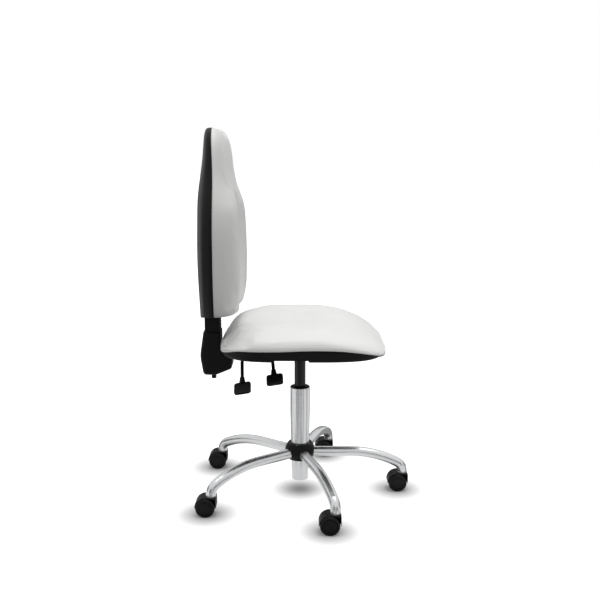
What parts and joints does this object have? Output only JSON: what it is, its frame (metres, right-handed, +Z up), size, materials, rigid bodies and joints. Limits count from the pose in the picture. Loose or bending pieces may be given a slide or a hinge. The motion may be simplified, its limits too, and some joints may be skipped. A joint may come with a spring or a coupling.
{
  "type": "swivel office chair",
  "caption": "Swivel office chair with a padded seat and a tall padded back in a dark shell, gas lift, reclining back and a bent tube star base on twin-wheel casters.",
  "frame": {"origin": "on the floor, on the axis of the gas column", "axes": "+X points ahead of the sitter, +Y to the sitter's left, +Z up along the gas column"},
  "size_m": [0.5232, 0.5404, 0.905],
  "materials": {
    "leg_chrome": "polished chrome plate on steel tube",
    "column_chrome": "polished chrome plate on steel tube",
    "cylinder_steel": "black hard coat",
    "rod_steel": "ground steel",
    "bearing_steel": "ground steel",
    "pin_steel": "zinc-plated steel",
    "caster_steel": "bright steel",
    "hub_steel": "dark paint over weld",
    "hub_plastic": "moulded plastic, soft gloss",
    "guide_plastic": "moulded acetal",
    "bush_plastic": "moulded nylon",
    "mechanism_paint": "black powder coat",
    "lever_paint": "black powder coat",
    "bar_paint": "black powder coat",
    "paddle_plastic": "fine-grained moulded plastic",
    "boot_plastic": "fine-grained moulded plastic",
    "carriage_plastic": "fine-grained moulded plastic",
    "shell_plastic": "fine-grained moulded plastic",
    "hood_plastic": "fine-grained moulded plastic",
    "wheel_plastic": "moulded nylon",
    "plywood": "pressed beech plywood, raw",
    "seat_vinyl": "smooth coated fabric with a fine grain",
    "back_vinyl": "smooth coated fabric with a fine grain"
  },
  "bodies": {
    "base": {"hub_sleeve": "hub_steel", "hub_cover_upper": "hub_plastic", "hub_cover_lower": "hub_plastic", "leg_1": "leg_chrome", "leg_2": "leg_chrome", "leg_3": "leg_chrome", "leg_4": "leg_chrome", "leg_5": "leg_chrome", "leg_end_bushes": "bush_plastic", "column_tube": "column_chrome", "column_guide": "guide_plastic", "thrust_bearing": "bearing_steel"},
    "lift_rod": {"piston_rod": "rod_steel", "rod_clip": "rod_steel"},
    "seat": {"gas_cylinder": "cylinder_steel", "taper_socket": "mechanism_paint", "mechanism_plate": "mechanism_paint", "mechanism_box": "mechanism_paint", "recline_pin": "pin_steel", "lever_pins": "pin_steel", "seat_bolts": "pin_steel", "seat_board": "plywood", "seat_pan": "shell_plastic", "seat_cushion": "seat_vinyl"},
    "release_pin": {"release_pin": "rod_steel"},
    "lift_lever": {"lift_lever": "lever_paint", "lift_paddle": "paddle_plastic"},
    "recline_lever": {"recline_lever": "lever_paint", "recline_paddle": "paddle_plastic"},
    "back_arm": {"back_bar": "bar_paint", "upright_sleeve": "boot_plastic", "boot_left": "boot_plastic", "boot_right": "boot_plastic", "boot_peg": "boot_plastic"},
    "back": {"height_carriage": "carriage_plastic", "back_screws": "pin_steel", "back_board": "plywood", "back_shell": "shell_plastic", "back_cushion": "back_vinyl"},
    "caster_1": {"caster_1_hood": "hood_plastic", "caster_1_pins": "caster_steel"},
    "caster_1_wheel_left": {"caster_1_wheel_left": "wheel_plastic"},
    "caster_1_wheel_right": {"caster_1_wheel_right": "wheel_plastic"},
    "caster_2": {"caster_2_hood": "hood_plastic", "caster_2_pins": "caster_steel"},
    "caster_2_wheel_left": {"caster_2_wheel_left": "wheel_plastic"},
    "caster_2_wheel_right": {"caster_2_wheel_right": "wheel_plastic"},
    "caster_3": {"caster_3_hood": "hood_plastic", "caster_3_pins": "caster_steel"},
    "caster_3_wheel_left": {"caster_3_wheel_left": "wheel_plastic"},
    "caster_3_wheel_right": {"caster_3_wheel_right": "wheel_plastic"},
    "caster_4": {"caster_4_hood": "hood_plastic", "caster_4_pins": "caster_steel"},
    "caster_4_wheel_left": {"caster_4_wheel_left": "wheel_plastic"},
    "caster_4_wheel_right": {"caster_4_wheel_right": "wheel_plastic"},
    "caster_5": {"caster_5_hood": "hood_plastic", "caster_5_pins": "caster_steel"},
    "caster_5_wheel_left": {"caster_5_wheel_left": "wheel_plastic"},
    "caster_5_wheel_right": {"caster_5_wheel_right": "wheel_plastic"}
  },
  "joints": [
    {"name": "seat_swivel", "type": "hinge", "parent": "base", "child": "lift_rod", "pos_m": [0, 0, 0.2], "axis": [0, 0, 1], "continuous": true},
    {"name": "seat_lift", "type": "slide", "parent": "lift_rod", "child": "seat", "axis": [0, 0, 1], "range_m": [-0.055, 0.045]},
    {"name": "release_pin_slide", "type": "slide", "parent": "seat", "child": "release_pin", "axis": [0, 0, -1], "range_m": [0, 0.0045], "stiffness_N_per_m": 150},
    {"name": "lift_lever_tilt", "type": "hinge", "parent": "seat", "child": "lift_lever", "pos_m": [-0.02949, -0.048, 0.37282], "axis": [-1, 0, 0], "range_deg": [0, 5], "stiffness_Nm_per_rad": 8},
    {"name": "recline_lever_tilt", "type": "hinge", "parent": "seat", "child": "recline_lever", "pos_m": [-0.10033, -0.048, 0.36976], "axis": [-1, 0, 0], "range_deg": [0, 8], "stiffness_Nm_per_rad": 8},
    {"name": "back_recline", "type": "hinge", "parent": "seat", "child": "back_arm", "pos_m": [-0.118, 0, 0.356], "axis": [0, -1, 0], "range_deg": [-3, 20]},
    {"name": "back_height", "type": "slide", "parent": "back_arm", "child": "back", "axis": [0, 0, 1], "range_m": [0, 0.06]},
    {"name": "caster_1_swivel", "type": "hinge", "parent": "base", "child": "caster_1", "pos_m": [0.261, 0, 0.05], "axis": [0, 0, 1], "continuous": true},
    {"name": "caster_1_wheel_left_roll", "type": "hinge", "parent": "caster_1", "child": "caster_1_wheel_left", "pos_m": [0.248, 0, 0.023], "axis": [0, 1, 0], "continuous": true},
    {"name": "caster_1_wheel_right_roll", "type": "hinge", "parent": "caster_1", "child": "caster_1_wheel_right", "pos_m": [0.248, 0, 0.023], "axis": [0, 1, 0], "continuous": true},
    {"name": "caster_2_swivel", "type": "hinge", "parent": "base", "child": "caster_2", "pos_m": [0.08065, 0.24823, 0.05], "axis": [0, 0, 1], "continuous": true},
    {"name": "caster_2_wheel_left_roll", "type": "hinge", "parent": "caster_2", "child": "caster_2_wheel_left", "pos_m": [0.06765, 0.24823, 0.023], "axis": [0, 1, 0], "continuous": true},
    {"name": "caster_2_wheel_right_roll", "type": "hinge", "parent": "caster_2", "child": "caster_2_wheel_right", "pos_m": [0.06765, 0.24823, 0.023], "axis": [0, 1, 0], "continuous": true},
    {"name": "caster_3_swivel", "type": "hinge", "parent": "base", "child": "caster_3", "pos_m": [-0.21115, 0.15341, 0.05], "axis": [0, 0, 1], "continuous": true},
    {"name": "caster_3_wheel_left_roll", "type": "hinge", "parent": "caster_3", "child": "caster_3_wheel_left", "pos_m": [-0.22415, 0.15341, 0.023], "axis": [0, 1, 0], "continuous": true},
    {"name": "caster_3_wheel_right_roll", "type": "hinge", "parent": "caster_3", "child": "caster_3_wheel_right", "pos_m": [-0.22415, 0.15341, 0.023], "axis": [0, 1, 0], "continuous": true},
    {"name": "caster_4_swivel", "type": "hinge", "parent": "base", "child": "caster_4", "pos_m": [-0.21115, -0.15341, 0.05], "axis": [0, 0, 1], "continuous": true},
    {"name": "caster_4_wheel_left_roll", "type": "hinge", "parent": "caster_4", "child": "caster_4_wheel_left", "pos_m": [-0.22415, -0.15341, 0.023], "axis": [0, 1, 0], "continuous": true},
    {"name": "caster_4_wheel_right_roll", "type": "hinge", "parent": "caster_4", "child": "caster_4_wheel_right", "pos_m": [-0.22415, -0.15341, 0.023], "axis": [0, 1, 0], "continuous": true},
    {"name": "caster_5_swivel", "type": "hinge", "parent": "base", "child": "caster_5", "pos_m": [0.08065, -0.24823, 0.05], "axis": [0, 0, 1], "continuous": true},
    {"name": "caster_5_wheel_left_roll", "type": "hinge", "parent": "caster_5", "child": "caster_5_wheel_left", "pos_m": [0.06765, -0.24823, 0.023], "axis": [0, 1, 0], "continuous": true},
    {"name": "caster_5_wheel_right_roll", "type": "hinge", "parent": "caster_5", "child": "caster_5_wheel_right", "pos_m": [0.06765, -0.24823, 0.023], "axis": [0, 1, 0], "continuous": true}
  ],
  "couplings": [
    {"joint": "release_pin_slide", "follows": "lift_lever_tilt", "m_per_rad": 0.048}
  ]
}
